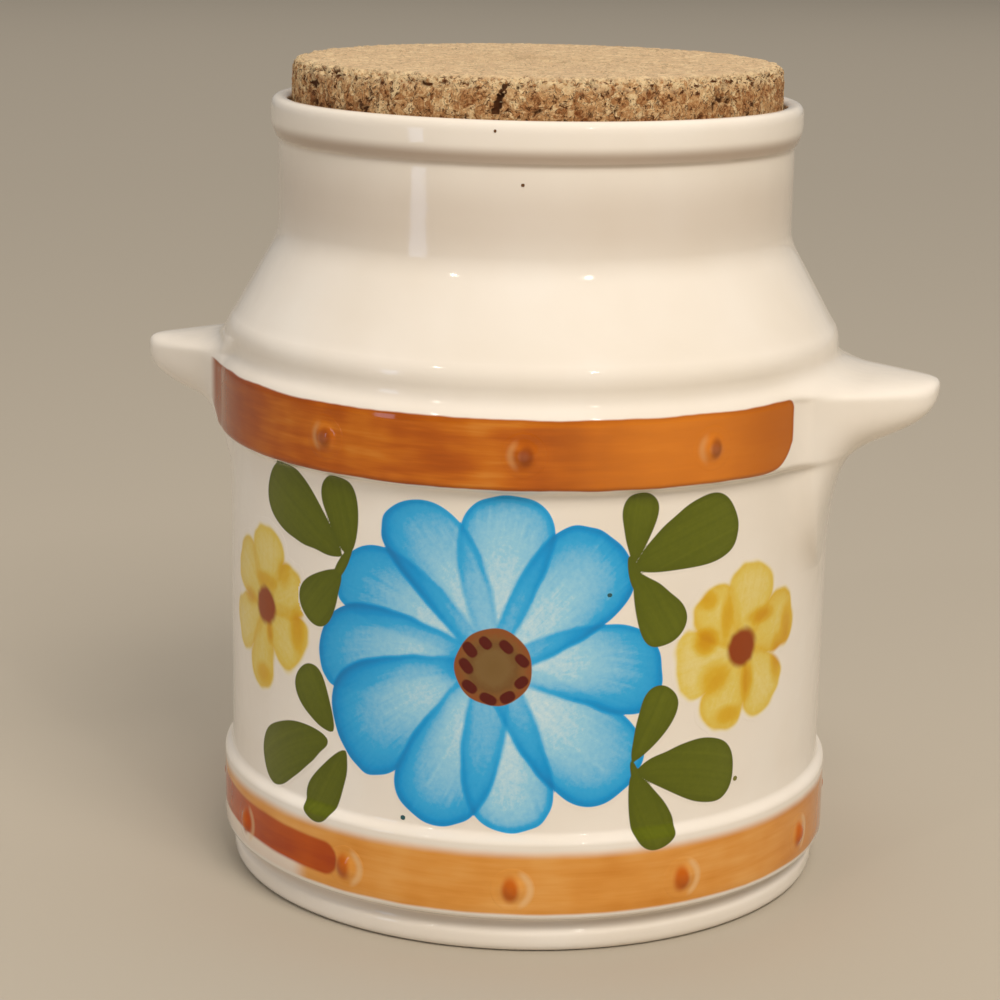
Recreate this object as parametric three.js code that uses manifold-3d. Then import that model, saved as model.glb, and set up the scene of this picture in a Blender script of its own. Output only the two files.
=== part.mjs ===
// A stoneware canister in the shape of a milk churn, closed by a flat cork stopper.
// Millimetres, +Z up. The origin is the middle of the foot, and -Y is the decorated front.
import * as THREE from "three";
import { mergeVertices } from "three/addons/utils/BufferGeometryUtils.js";
import Module from "manifold-3d";

const wasm = await Module();
wasm.setup();

// Foot and the groove above it
const FOOT_R = 66.8;
const FOOT_TOE = 2.2;
const FOOT_TOP_Z = 4.7;
const GROOVE_R = 65.9;
const GROOVE_LOW_Z = 5.6;
const GROOVE_HIGH_Z = 6.4;

// Lower band, a raised strap round the whole wall
const LOW_BAND_R = 68.8;
const LOW_BAND_LOW_Z = 8.9;
const LOW_BAND_HIGH_Z = 24.2;
const LOW_BAND_END_Z = 27;

// Straight wall
const WALL_R = 67;

// Upper band, a raised strap that ends in the lugs
const UP_BAND_START_Z = 97.6;
const UP_BAND_R = 69.6;
const UP_BAND_LOW_Z = 100.4;
const UP_BAND_HIGH_Z = 112.8;
const UP_BAND_END_R = 67.3;
const UP_BAND_END_Z = 118.2;

// Shoulder, from its rounded lower edge to the neck
const SHOULDER_R = 67.6;
const SHOULDER_Z = 121.2;
const SHOULDER_ROUND = 3.6;
const SHOULDER_LOW_R = 66.2;
const SHOULDER_LOW_Z = SHOULDER_Z + SHOULDER_ROUND;
const SHOULDER_TOP_R = 58.2;
const SHOULDER_TOP_Z = 138.9;

// Neck, lip and mouth
const NECK_R = 56.3;
const NECK_BEND_Z = 142.1;
const NECK_LOW_Z = 144.5;
const NECK_HIGH_Z = 160.8;
const LIP_R = 58;
const LIP_LOW_Z = 165;
const LIP_HIGH_Z = 169.2;
const RIM_R = 56.2;
const RIM_Z = 171.7;
const MOUTH_R = 54.3;
const MOUTH_ROUND = 1.4;
const SEAT_Z = 161.5;

// Cork stopper
const CORK_R = 53.8;
const CORK_ROOT_R = 53.2;
const CORK_TOP_Z = 180.4;
const CORK_EDGE = 1.2;
const CORK_CHAMFER = 1;
const GAP = 0.3;

// Rivets: shallow raised buttons on both bands, by their angle from the front towards +X, in degrees
const RIVET_R = 3;
const RIVET_RISE = 0.9;
const RIVET_STRETCH = 1.05;
const UP_RIVET_Z = 107;
const UP_RIVETS = [-37, -1, 32];
const LOW_RIVET_Z = 14.8;
const LOW_RIVETS = [-32.7, -1.5, 29.5, 62];
const LOW_RIVET_COUNT = 12;

// Lugs: two flat-topped ears opposite each other, by the angle of the +X one from the front in degrees.
// Along a lug, q is the distance back from its tip. Half its width is the rounded nose, opened over its
// reach, plus the flare times q. The keel's depth grows with a power of q, and a bracket deepens it against
// the wall.
const LUG_ANGLE = 79.5;
const LUG_ROOT_R = 60;
const LUG_TIP_R = 90.3;
const LUG_TOP_Z = 116.2;
const LUG_FALL = 0.11;
const LUG_NOSE = 9;
const LUG_NOSE_REACH = 1.6;
const LUG_FLARE = 0.75;
const LUG_EDGE = 1.2;
const LUG_EDGE_REACH = 0.8;
const LUG_DEPTH = 3.1;
const LUG_DEPTH_POWER = 0.48;
const LUG_BRACKET = 22;
const LUG_BRACKET_R = 66.5;
const LUG_BRACKET_REACH = 2.5;
// Roundness of a section: a low power squares the flat top's edges, a high one draws the keel in
const FLAT_POWER = 0.4;
const KEEL_POWER = 1.35;

const SEGMENTS = 60;
const CURVE_STEPS = 3;

const glaze = new THREE.MeshStandardMaterial({ color: "#e9e0d2", roughness: 0.14, metalness: 0 });
const cork = new THREE.MeshStandardMaterial({ color: "#c59a6c", roughness: 0.92, metalness: 0 });

// Turns an outline of radius against height round +Z.
function turned(outline) {
  const geometry = new THREE.LatheGeometry(outline.getPoints(CURVE_STEPS), SEGMENTS);
  return geometry.rotateX(Math.PI / 2);
}

// A closed geometry as a solid, with its seam and poles welded.
function solid(geometry) {
  geometry.deleteAttribute("normal");
  geometry.deleteAttribute("uv");
  const welded = mergeVertices(geometry, 1e-3);
  const index = welded.index.array;
  const kept = [];
  for (let i = 0; i < index.length; i += 3) {
    const [a, b, c] = index.slice(i, i + 3);
    if (a !== b && b !== c && c !== a) kept.push(a, b, c);
  }
  return new wasm.Manifold(
    new wasm.Mesh({
      numProp: 3,
      vertProperties: welded.attributes.position.array,
      triVerts: new Uint32Array(kept),
    }),
  );
}

// A solid as a named mesh.
function part(name, shape, material) {
  const { vertProperties, triVerts } = shape.getMesh();
  const geometry = new THREE.BufferGeometry();
  geometry.setAttribute("position", new THREE.BufferAttribute(vertProperties, 3));
  geometry.setIndex(new THREE.BufferAttribute(triVerts, 1));
  geometry.computeVertexNormals();
  const mesh = new THREE.Mesh(geometry, material);
  mesh.name = name;
  return mesh;
}

// The angle from the front towards +X, in degrees, as a turn about +Z from +X.
function turnOf(angle) {
  return THREE.MathUtils.degToRad(angle - 90);
}

// Carries an outline on to a radius and a height, upright where it leaves and where it arrives.
function ease(outline, radius, height) {
  const { x, y } = outline.currentPoint;
  const halfway = (y + height) / 2;
  return outline.bezierCurveTo(x, halfway, radius, halfway, radius, height);
}

// Outside of the jar from the foot to the rim, then down the mouth to the seat of the cork
function jarOutline() {
  const outline = new THREE.Path();
  outline.moveTo(0, 0);
  outline.lineTo(FOOT_R - FOOT_TOE, 0);
  outline.quadraticCurveTo(FOOT_R, 0, FOOT_R, FOOT_TOE);
  outline.lineTo(FOOT_R, FOOT_TOP_Z - 1);
  ease(outline, GROOVE_R, GROOVE_LOW_Z);
  outline.lineTo(GROOVE_R, GROOVE_HIGH_Z);
  ease(outline, LOW_BAND_R, LOW_BAND_LOW_Z);
  outline.lineTo(LOW_BAND_R, LOW_BAND_HIGH_Z);
  ease(outline, WALL_R, LOW_BAND_END_Z);
  outline.lineTo(WALL_R, UP_BAND_START_Z);
  ease(outline, UP_BAND_R, UP_BAND_LOW_Z);
  outline.lineTo(UP_BAND_R, UP_BAND_HIGH_Z);
  ease(outline, UP_BAND_END_R, UP_BAND_END_Z);
  ease(outline, SHOULDER_R, SHOULDER_Z);
  outline.quadraticCurveTo(SHOULDER_R, SHOULDER_Z + SHOULDER_ROUND / 2, SHOULDER_LOW_R, SHOULDER_LOW_Z);
  outline.lineTo(SHOULDER_TOP_R, SHOULDER_TOP_Z);
  outline.quadraticCurveTo(NECK_R, NECK_BEND_Z, NECK_R, NECK_LOW_Z);
  outline.lineTo(NECK_R, NECK_HIGH_Z);
  ease(outline, LIP_R, LIP_LOW_Z);
  outline.lineTo(LIP_R, LIP_HIGH_Z);
  outline.quadraticCurveTo(LIP_R, RIM_Z, RIM_R, RIM_Z);
  outline.quadraticCurveTo(MOUTH_R, RIM_Z, MOUTH_R, RIM_Z - MOUTH_ROUND);
  outline.lineTo(MOUTH_R, SEAT_Z);
  outline.lineTo(0, SEAT_Z);
  return outline;
}

// How far a rounded end has opened at a distance q back from its tip, from 0 to 1
function opened(q, reach) {
  return Math.sqrt(1 - Math.exp(-q / reach));
}

// A lug is a sphere whose poles lie at its root and its tip, with each ring moved onto a section that has
// a flat top and a keel below.
function lug(angle) {
  const geometry = new THREE.SphereGeometry(1, 24, 16);
  const position = geometry.attributes.position;
  const point = new THREE.Vector3();
  for (let i = 0; i < position.count; i++) {
    point.fromBufferAttribute(position, i);
    const u = THREE.MathUtils.lerp(LUG_ROOT_R, LUG_TIP_R, (1 - point.y) / 2);
    const q = LUG_TIP_R - u;
    const width = LUG_NOSE * opened(q, LUG_NOSE_REACH) + LUG_FLARE * q;
    const bracket = LUG_BRACKET * Math.exp(-Math.max(u - LUG_BRACKET_R, 0) / LUG_BRACKET_REACH);
    const depth = LUG_DEPTH * Math.pow(q, LUG_DEPTH_POWER) + bracket;
    const edgeZ = LUG_TOP_Z - LUG_EDGE - LUG_FALL * (u - LUG_ROOT_R);
    const ring = Math.hypot(point.x, point.z);
    if (ring < 1e-6) {
      position.setXYZ(i, u, 0, edgeZ);
      continue;
    }
    const across = point.x / ring;
    const up = point.z / ring;
    const power = up > 0 ? FLAT_POWER : KEEL_POWER;
    const reach = up > 0 ? LUG_EDGE * opened(q, LUG_EDGE_REACH) : depth;
    const v = width * Math.sign(across) * Math.pow(Math.abs(across), power);
    const z = edgeZ + reach * Math.sign(up) * Math.pow(Math.abs(up), power);
    position.setXYZ(i, u, v, z);
  }
  return solid(geometry.rotateZ(turnOf(angle)));
}

// A rivet is a flattened sphere, half sunk in its band.
function rivet(angle, bandRadius, height) {
  const geometry = new THREE.SphereGeometry(RIVET_R, 10, 6);
  geometry.scale(RIVET_RISE / RIVET_R, 1, RIVET_STRETCH);
  geometry.translate(bandRadius, 0, height);
  return solid(geometry.rotateZ(turnOf(angle)));
}

// Angles of every rivet of the lower band: those of the front, then even steps round the back.
function lowRivetAngles() {
  const first = LOW_RIVETS[0];
  const last = LOW_RIVETS[LOW_RIVETS.length - 1];
  const rest = LOW_RIVET_COUNT - LOW_RIVETS.length;
  const step = (360 - last + first) / (rest + 1);
  const angles = [...LOW_RIVETS];
  for (let i = 1; i <= rest; i++) angles.push(last + step * i);
  return angles;
}

function jar() {
  const pieces = [solid(turned(jarOutline()))];
  for (const side of [0, 180]) {
    pieces.push(lug(LUG_ANGLE + side));
    for (const angle of UP_RIVETS) pieces.push(rivet(angle + side, UP_BAND_R, UP_RIVET_Z));
  }
  for (const angle of lowRivetAngles()) pieces.push(rivet(angle, LOW_BAND_R, LOW_RIVET_Z));
  return pieces.reduce((whole, piece) => whole.add(piece));
}

function stopper() {
  const outline = new THREE.Path()
    .moveTo(0, SEAT_Z + GAP)
    .lineTo(CORK_ROOT_R - CORK_CHAMFER, SEAT_Z + GAP)
    .lineTo(CORK_ROOT_R, SEAT_Z + GAP + CORK_CHAMFER)
    .lineTo(CORK_R, RIM_Z)
    .lineTo(CORK_R, CORK_TOP_Z - CORK_EDGE)
    .quadraticCurveTo(CORK_R, CORK_TOP_Z, CORK_R - CORK_EDGE, CORK_TOP_Z)
    .lineTo(0, CORK_TOP_Z);
  return solid(turned(outline));
}

const canister = new THREE.Group();
canister.add(part("jar", jar(), glaze));
canister.add(part("cork_stopper", stopper(), cork));

export default canister;
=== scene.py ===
# Looks of a hand-painted stoneware canister with a cork stopper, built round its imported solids.
import math

import bpy
import numpy as np
from mathutils import Matrix, Vector


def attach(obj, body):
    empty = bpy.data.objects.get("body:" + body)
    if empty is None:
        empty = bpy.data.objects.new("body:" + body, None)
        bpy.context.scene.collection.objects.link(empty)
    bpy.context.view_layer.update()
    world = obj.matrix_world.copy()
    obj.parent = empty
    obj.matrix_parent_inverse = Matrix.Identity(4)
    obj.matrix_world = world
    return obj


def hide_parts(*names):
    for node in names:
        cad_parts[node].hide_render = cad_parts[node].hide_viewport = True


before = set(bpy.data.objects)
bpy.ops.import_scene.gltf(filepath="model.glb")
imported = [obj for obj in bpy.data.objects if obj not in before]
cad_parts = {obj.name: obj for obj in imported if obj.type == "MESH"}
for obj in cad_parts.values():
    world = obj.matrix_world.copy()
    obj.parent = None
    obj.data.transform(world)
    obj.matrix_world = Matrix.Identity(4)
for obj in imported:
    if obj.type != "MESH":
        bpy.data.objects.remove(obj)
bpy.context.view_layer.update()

MM = 0.001

# Kinds of nodes used most. RANGE takes a value, the two values it runs between, and what they become
MATH = "ShaderNodeMath"
VECTOR = "ShaderNodeVectorMath"
RANGE = "ShaderNodeMapRange"
MIX = "ShaderNodeMix"
RAMP = "ShaderNodeValToRGB"
SPLIT = "ShaderNodeSeparateXYZ"
JOIN = "ShaderNodeCombineXYZ"
NOISE = "ShaderNodeTexNoise"
CELLS = "ShaderNodeTexVoronoi"
SKIN = "ShaderNodeBsdfPrincipled"
KEEP = "GeometryNodeStoreNamedAttribute"
EASED = {"interpolation_type": "SMOOTHSTEP"}
COLOUR = {"out": 2, "data_type": "RGBA"}
LENGTH = {"out": 1, "operation": "LENGTH"}

# Foot, groove and lower band, in millimetres like every size below
RECESS_R = 57
RECESS_RISE = 1.5
FOOT_INNER_R = 60
FOOT_R = 66.8
FOOT_TOE = 2.2
FOOT_TOP_Z = 4.7
GROOVE_R = 65.9
GROOVE_LOW_Z = 5.6
GROOVE_HIGH_Z = 6.4
LOW_BAND_R = 68.8
LOW_BAND_LOW_Z = 8.9
LOW_BAND_HIGH_Z = 24.2
LOW_BAND_END_Z = 27

# Straight wall and upper band
WALL_R = 67
UP_BAND_START_Z = 97.6
UP_BAND_R = 69.6
UP_BAND_LOW_Z = 100.4
UP_BAND_HIGH_Z = 112.8
UP_BAND_END_R = 67.3
UP_BAND_END_Z = 118.2

# Shoulder, neck, lip and mouth
SHOULDER_R = 67.6
SHOULDER_Z = 121.2
SHOULDER_ROUND = 3.6
SHOULDER_LOW_R = 66.2
SHOULDER_LOW_Z = SHOULDER_Z + SHOULDER_ROUND
SHOULDER_TOP_R = 58.2
SHOULDER_TOP_Z = 138.9
NECK_R = 56.3
NECK_BEND_Z = 142.1
NECK_LOW_Z = 144.5
NECK_HIGH_Z = 162.2
LIP_R = 58
LIP_UNDER_R = 57.1
LIP_UNDER_Z = 163.7
LIP_LOW_Z = 168
LIP_HIGH_Z = 169.2
RIM_R = 56.2
RIM_Z = 171.7
MOUTH_R = 54.3
MOUTH_ROUND = 1.4
SEAT_Z = 161.5
POLE_R = 0.5

# Lugs, with the same rule as the solid's, and the soft join that the glaze gives them
LUG_ANGLE = 79.5
LUG_ROOT_R = 60
LUG_TIP_R = 90.2
LUG_TOP_Z = 116.2
LUG_FALL = 0.065
LUG_NOSE = 9
LUG_NOSE_REACH = 1.6
LUG_FLARE = 0.75
LUG_EDGE = 1.2
LUG_EDGE_REACH = 0.8
LUG_DEPTH = 4.5
LUG_DEPTH_POWER = 0.4
LUG_BRACKET = 22
LUG_BRACKET_R = 66.5
LUG_BRACKET_REACH = 2.5
CROWN_POWER = 2.4
KEEL_POWER = 3.2
LUG_FILLET = 7
LUG_SPREAD = 34
LUG_ROUND = 3
LUG_ROOT_SOFT = 4
LUG_WIDEST = 25
LEFT_LUG_SHORT = 1.2
LEFT_LUG_LIFT = 2.9
LEFT_LUG_FALL = 0.13
LEFT_LUG_NOSE = 5
LEFT_LUG_BRACKET = 0.4

# The belt of the wall that the lugs grow out of, and the hub that its sections are seen from
BELT_LOW_Z = 74
BELT_ROWS = 110
HUB_R = 54
HUB_Z = 108
HUB_REACH = 48.0
RAYS = 600
HALVINGS = 34
EVENING_ROUNDS = 8

# Rivets, by their angle from the front towards +X in degrees
RIVET_RISE = 0.85
RIVET_REACH = 3.7
RIVET_SKIRT = 5.0
RIVET_LIFT = 0.03
RIVET_TUCK = 0.06
RIVET_ROOT = 0.6
UP_RIVET_Z = 107
UP_RIVETS = [-37, -1, 32]
LOW_RIVET_Z = 14.8
LOW_RIVETS = [-32.7, -1.5, 29.5, 62]
LOW_RIVET_COUNT = 12

# Cork stopper
CORK_R = 53.8
CORK_ROOT_R = 53.2
CORK_LOW_Z = SEAT_Z + 0.3
CORK_TOP_Z = 180.4
CORK_EDGE = 3.2
CORK_CHAMFER = 1
CORK_GRANULE = 2.5
CRACK_PLACE = -6.3
CRACK_LEAN = 2.2
CRACK_START = 1.0
CRACK_LENGTH = 7.5
CRACK_HALF = 0.35
CRACK_FORK = 0.45
CRACK_RAGGED = 4.6

# Painted straps: angles from the front towards +X in degrees. The upper one rises and thins towards its ends
UP_STRAP_MIDDLE = -16.2
UP_STRAP_HALF_TURN = 67.8
UP_STRAP_Z = 106.9
UP_STRAP_HALF = 7.45
UP_STRAP_ENDING = 11
UP_STRAP_LIFT = 0.8
UP_STRAP_THINNER = 0.5
UP_STRAP_LOW_CORNER = 6.2
UP_STRAP_HIGH_CORNER = 2.2
STRAP_ON_LUG_R = (70.2, 71.6)
LOW_STRAP_FOOT_Z = (9.0, 9.7)
LOW_STRAP_HEAD_Z = (21.2, 23.8)
BURNT_MIDDLE = -80
BURNT_HALF_TURN = 45.4
BURNT_HALF = 3.7
BURNT_LINE_Z = (16.9, 15.4)

# How far the brushwork stands on the wall, how far its sheet reaches in, the distance that stands for far
# outside, and the ramps' share of a paint's thickness
PAINT_LIFT = 0.05
PAINT_ROOT = 0.3
FAR_OUT = -99.0
PAINT_SHARE = 0.5

# Sizes of the finishes' patterns. The brush's streaks and hairs have theirs along X, Y and upwards
GLAZE_CLOUD = 33.33
GLAZE_RIPPLE = 9.091
GLAZE_UNEVEN = 20
STRAP_STREAK = (22.22, 22.22, 2.381)
STRAP_HAIR = (11.11, 11.11, 0.3846)
STRAP_PATCH = 14.29
STRAP_WAVER = 11.11
BRUSH_MOTTLE = 1.111
CORK_LUMP = 2
CORK_BEND = 5.0
CORK_STRETCH = 3.33333
CORK_GRAIN = 0.90909
CORK_FINE = 0.6667
CORK_CRUMB = 1.111
CORK_FLECK = 1.25
CORK_BIT = 0.9615
CORK_LOST = 0.09


def srgb(text):
    """A hex colour as linear red, green, blue and alpha."""
    shares = [int(text[i:i + 2], 16) / 255 for i in (1, 3, 5)]
    linear = [s / 12.92 if s <= 0.04045 else ((s + 0.055) / 1.055) ** 2.4 for s in shares]
    return (*linear, 1.0)


def add(tree, kind, inputs=(), out=0, stops=(), **settings):
    """Adds a node with its settings, ramp stops and inputs, each a value or a socket, and gives one of its
    outputs. The inputs are in the node's own order, or in a dictionary by their name or number."""
    node = tree.nodes.new(kind)
    for name, value in settings.items():
        setattr(node, name, value)
    if stops:
        ramp = node.color_ramp.elements
        while len(ramp) < len(stops):
            ramp.new(1)
        for element, (place, colour) in zip(ramp, stops):
            element.position = place
            element.color = srgb(colour)
    for key, value in inputs.items() if isinstance(inputs, dict) else enumerate(inputs):
        if isinstance(value, bpy.types.NodeSocket):
            tree.links.new(value, node.inputs[key])
        else:
            node.inputs[key].default_value = value
    return node.outputs[out] if node.outputs else node


def new_material(name):
    """An empty node material, its tree, and Object coordinates in millimetres."""
    material = bpy.data.materials.new(name)
    material.use_nodes = True
    tree = material.node_tree
    tree.nodes.clear()
    place = add(tree, "ShaderNodeTexCoord", out=3)
    return material, tree, add(tree, VECTOR, {0: place, "Scale": 1 / MM}, operation="SCALE")


def smooth(value, low, high):
    """An eased step from 0 at low to 1 at high."""
    t = np.clip((value - low) / (high - low), 0, 1)
    return t * t * (3 - 2 * t)


class Outline:
    """Points of radius against height, in millimetres, carried on by lines and curves."""

    def __init__(self, radius, height):
        self.points = [(radius, height)]

    def line(self, radius, height, steps):
        r0, z0 = self.points[-1]
        for i in range(1, steps + 1):
            t = i / steps
            self.points.append((r0 + (radius - r0) * t, z0 + (height - z0) * t))
        return self

    def ease(self, radius, height, steps):
        """A curve that is upright where it leaves and where it arrives."""
        r0, z0 = self.points[-1]
        for i in range(1, steps + 1):
            t = i / steps
            blend = t * t * (3 - 2 * t)
            upright = 1.5 * t * (1 - t) + t ** 3
            self.points.append((r0 + (radius - r0) * blend, z0 + (height - z0) * upright))
        return self

    def round(self, corner_r, corner_z, radius, height, steps):
        """A curve that turns towards a corner and away from it."""
        r0, z0 = self.points[-1]
        for i in range(1, steps + 1):
            t = i / steps
            a, b, c = (1 - t) ** 2, 2 * t * (1 - t), t * t
            self.points.append((a * r0 + b * corner_r + c * radius, a * z0 + b * corner_z + c * height))
        return self


def column_angles():
    """Angles of the jar's columns in degrees, close together across the lugs and wider between them."""
    angles = []
    for centre in (LUG_ANGLE, LUG_ANGLE + 180):
        angles.extend(np.linspace(centre - LUG_SPREAD, centre + LUG_SPREAD, 108, endpoint=False))
        angles.extend(np.linspace(centre + LUG_SPREAD, centre + 180 - LUG_SPREAD, 104, endpoint=False))
    return np.array(angles)


def lower_outline():
    """Underside with a shallow recess, foot, groove, lower band and wall, up to the belt."""
    outline = Outline(POLE_R, RECESS_RISE)
    outline.line(RECESS_R, RECESS_RISE, 6)
    outline.round(FOOT_INNER_R - 1, RECESS_RISE, FOOT_INNER_R, 0, 4)
    outline.line(FOOT_R - FOOT_TOE, 0, 2)
    outline.round(FOOT_R, 0, FOOT_R, FOOT_TOE, 5)
    outline.line(FOOT_R, FOOT_TOP_Z - 1, 2)
    outline.ease(GROOVE_R, GROOVE_LOW_Z, 4)
    outline.line(GROOVE_R, GROOVE_HIGH_Z, 1)
    outline.ease(LOW_BAND_R, LOW_BAND_LOW_Z, 6)
    outline.line(LOW_BAND_R, LOW_BAND_HIGH_Z, 6)
    outline.ease(WALL_R, LOW_BAND_END_Z, 14)
    outline.line(WALL_R, BELT_LOW_Z, 9)
    return outline.points


def belt_outline():
    """Wall, upper band and the rounded lower edge of the shoulder, finely."""
    outline = Outline(WALL_R, BELT_LOW_Z)
    outline.line(WALL_R, UP_BAND_START_Z, 40)
    outline.ease(UP_BAND_R, UP_BAND_LOW_Z, 24)
    outline.line(UP_BAND_R, UP_BAND_HIGH_Z, 20)
    outline.ease(UP_BAND_END_R, UP_BAND_END_Z, 24)
    outline.ease(SHOULDER_R, SHOULDER_Z, 16)
    outline.round(SHOULDER_R, SHOULDER_Z + SHOULDER_ROUND / 2, SHOULDER_LOW_R, SHOULDER_LOW_Z, 20)
    return outline.points


def upper_outline():
    """Shoulder, neck, lip and mouth, down to the middle of the cork's seat."""
    outline = Outline(SHOULDER_LOW_R, SHOULDER_LOW_Z)
    outline.line(SHOULDER_TOP_R, SHOULDER_TOP_Z, 13)
    outline.round(NECK_R, NECK_BEND_Z, NECK_R, NECK_LOW_Z, 9)
    outline.line(NECK_R, NECK_HIGH_Z, 7)
    outline.ease(LIP_UNDER_R, LIP_UNDER_Z, 6)
    outline.round(LIP_R, LIP_UNDER_Z + 1.6, LIP_R, LIP_LOW_Z, 7)
    outline.line(LIP_R, LIP_HIGH_Z, 2)
    outline.round(LIP_R, RIM_Z, RIM_R, RIM_Z, 7)
    outline.round(MOUTH_R, RIM_Z, MOUTH_R, RIM_Z - MOUTH_ROUND, 6)
    outline.line(MOUTH_R, SEAT_Z, 3)
    outline.line(POLE_R, SEAT_Z, 3)
    return outline.points[1:]


def wall_radius(z):
    """Radius of the jar without its lugs at a height between the foot and the lip."""
    points = [p for p in lower_outline() if p[1] > FOOT_TOE] + belt_outline()[1:]
    points += [p for p in upper_outline() if p[0] > NECK_R - 0.1 and p[1] <= LIP_HIGH_Z]
    return np.interp(z, [p[1] for p in points], [p[0] for p in points])


def lug_distance(r, z, phi, left):
    """Rough distance outside a lug's skin at an angle phi from its middle in radians. Left is 1 on the
    left lug, which has sizes of its own."""
    nose = LUG_NOSE + left * (LEFT_LUG_NOSE - LUG_NOSE)
    fall = LUG_FALL + left * (LEFT_LUG_FALL - LUG_FALL)
    bracket_height = LUG_BRACKET * (1 + left * (LEFT_LUG_BRACKET - 1))
    u = r * np.cos(phi)
    v = np.abs(r * np.sin(phi))
    q = np.maximum(LUG_TIP_R - u, 1e-3)
    width = nose * np.sqrt(1 - np.exp(-q / LUG_NOSE_REACH)) + LUG_FLARE * np.minimum(q, LUG_WIDEST)
    bracket = bracket_height * np.exp(-np.maximum(u - LUG_BRACKET_R, 0) / LUG_BRACKET_REACH)
    depth = LUG_DEPTH * q ** LUG_DEPTH_POWER + bracket
    flat = LUG_EDGE * np.sqrt(1 - np.exp(-q / LUG_EDGE_REACH))
    crown = np.minimum(LUG_ROUND, 0.45 * (flat + depth))
    height = z - (LUG_TOP_Z - LUG_EDGE + flat - crown - fall * (u - LUG_ROOT_R))
    above = height > 0
    reach = np.where(above, crown, flat + depth - crown)
    power = np.where(above, CROWN_POWER, KEEL_POWER)
    across = v / width + 1e-6
    up = np.abs(height) / reach + 1e-6
    size = (across ** power + up ** power) ** (1 / power)
    slope = np.hypot(across ** (power - 1) / width, up ** (power - 1) / reach) * size ** (1 - power)
    near, root = (size - 1) / slope, LUG_ROOT_R - u
    distance = (near + root + np.hypot(near - root, LUG_ROOT_SOFT)) / 2
    return np.where(u > LUG_TIP_R, np.maximum(distance, u - LUG_TIP_R), distance)


def belt_sections(phi, left):
    """Radius and height of each belt row at angles phi from a lug's middle, seen from the hub and evenly
    spaced. Body and lug are joined with a soft fillet. The left lug is a little shorter and higher."""
    left = left[:, None]
    short, lift = left * LEFT_LUG_SHORT, left * LEFT_LUG_LIFT
    outline = belt_outline()
    heights = [p[1] for p in outline]
    radii = [p[0] for p in outline]
    low = math.atan2(heights[0] - HUB_Z, radii[0] - HUB_R)
    high = math.atan2(heights[-1] - HUB_Z, radii[-1] - HUB_R)

    def reach(aim):
        """Where the ray from the hub at this aim leaves the skin, by halving."""
        inner = np.zeros(aim.shape)
        outer = np.full(aim.shape, HUB_REACH)
        turn = phi[:, None]
        for _ in range(HALVINGS):
            middle = (inner + outer) / 2
            r = HUB_R + middle * np.cos(aim)
            z = HUB_Z + middle * np.sin(aim)
            body = r - np.interp(z, heights, radii)
            lug = lug_distance(r + short, z - lift, turn, left)
            share = np.clip(0.5 + 0.5 * (lug - body) / LUG_FILLET, 0, 1)
            skin = lug + (body - lug) * share - LUG_FILLET * share * (1 - share)
            inner = np.where(skin > 0, inner, middle)
            outer = np.where(skin > 0, middle, outer)
        return HUB_R + inner * np.cos(aim), HUB_Z + inner * np.sin(aim)

    aim = np.repeat(np.linspace(low, high, RAYS)[None, :], len(phi), axis=0)
    r, z = reach(aim)
    length = np.cumsum(np.hypot(np.diff(r), np.diff(z)), axis=1)
    length = np.concatenate([np.zeros((len(phi), 1)), length], axis=1)
    wanted = np.linspace(0, 1, BELT_ROWS)
    even = np.array([np.interp(wanted * run[-1], run, a) for run, a in zip(length, aim)])
    for _ in range(EVENING_ROUNDS):
        even = (np.roll(even, 1, 0) + 2 * even + np.roll(even, -1, 0)) / 4
    return reach(even)


def round_axis(r, turn, z):
    """Points by their radius, angle from the front towards +X in radians, and height."""
    return np.stack(np.broadcast_arrays(r * np.sin(turn), -r * np.cos(turn), z), -1)


def grid_mesh(name, rings):
    """A mesh of rings of points, each an array of shape (columns, 3), closed at both ends by a middle
    point."""
    columns = len(rings[0])
    points = np.concatenate(rings)
    index = np.arange(columns)
    after = (index + 1) % columns
    faces = []
    for i in range(len(rings) - 1):
        a, b = i * columns, (i + 1) * columns
        faces.extend(np.stack([a + index, a + after, b + after, b + index], 1).tolist())
    top, start = (len(rings) - 1) * columns, len(points)
    points = np.concatenate([points, [rings[0].mean(0), rings[-1].mean(0)]])
    faces.extend([[start, int(a), int(i)] for i, a in zip(index, after)])
    faces.extend([[start + 1, top + int(i), top + int(a)] for i, a in zip(index, after)])
    mesh = bpy.data.meshes.new(name)
    mesh.from_pydata((points * MM).tolist(), [], faces)
    mesh.update()
    mesh.shade_smooth()
    return mesh


def new_piece(name, mesh, material):
    """An object of that mesh with one material."""
    piece = bpy.data.objects.new(name, mesh)
    bpy.context.scene.collection.objects.link(piece)
    mesh.materials.append(material)
    return piece


def jar_mesh():
    """Closed skin of the jar: plain rings below and above the belt, and the belt's own rows with the lugs."""
    turns = np.radians(column_angles())
    middle = math.radians(LUG_ANGLE)
    phi = (turns - middle + np.pi / 2) % np.pi - np.pi / 2
    belt_r, belt_z = belt_sections(phi, (np.cos(turns - middle) < 0) * 1.0)
    rings = lower_outline()[:-1] + list(zip(belt_r.T, belt_z.T)) + upper_outline()
    return grid_mesh("stoneware_jar", [round_axis(r, turns, z) for r, z in rings])


def wander(x, rng, finest, coarsest, count):
    """A smooth random wave of x with no repeat, mostly between -1 and 1."""
    total = 0
    for i in range(count):
        length = coarsest * (finest / coarsest) ** (i / (count - 1))
        total = total + np.sin(2 * np.pi * x / length + rng.uniform(0, 2 * np.pi))
    return total / np.sqrt(count)


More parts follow.
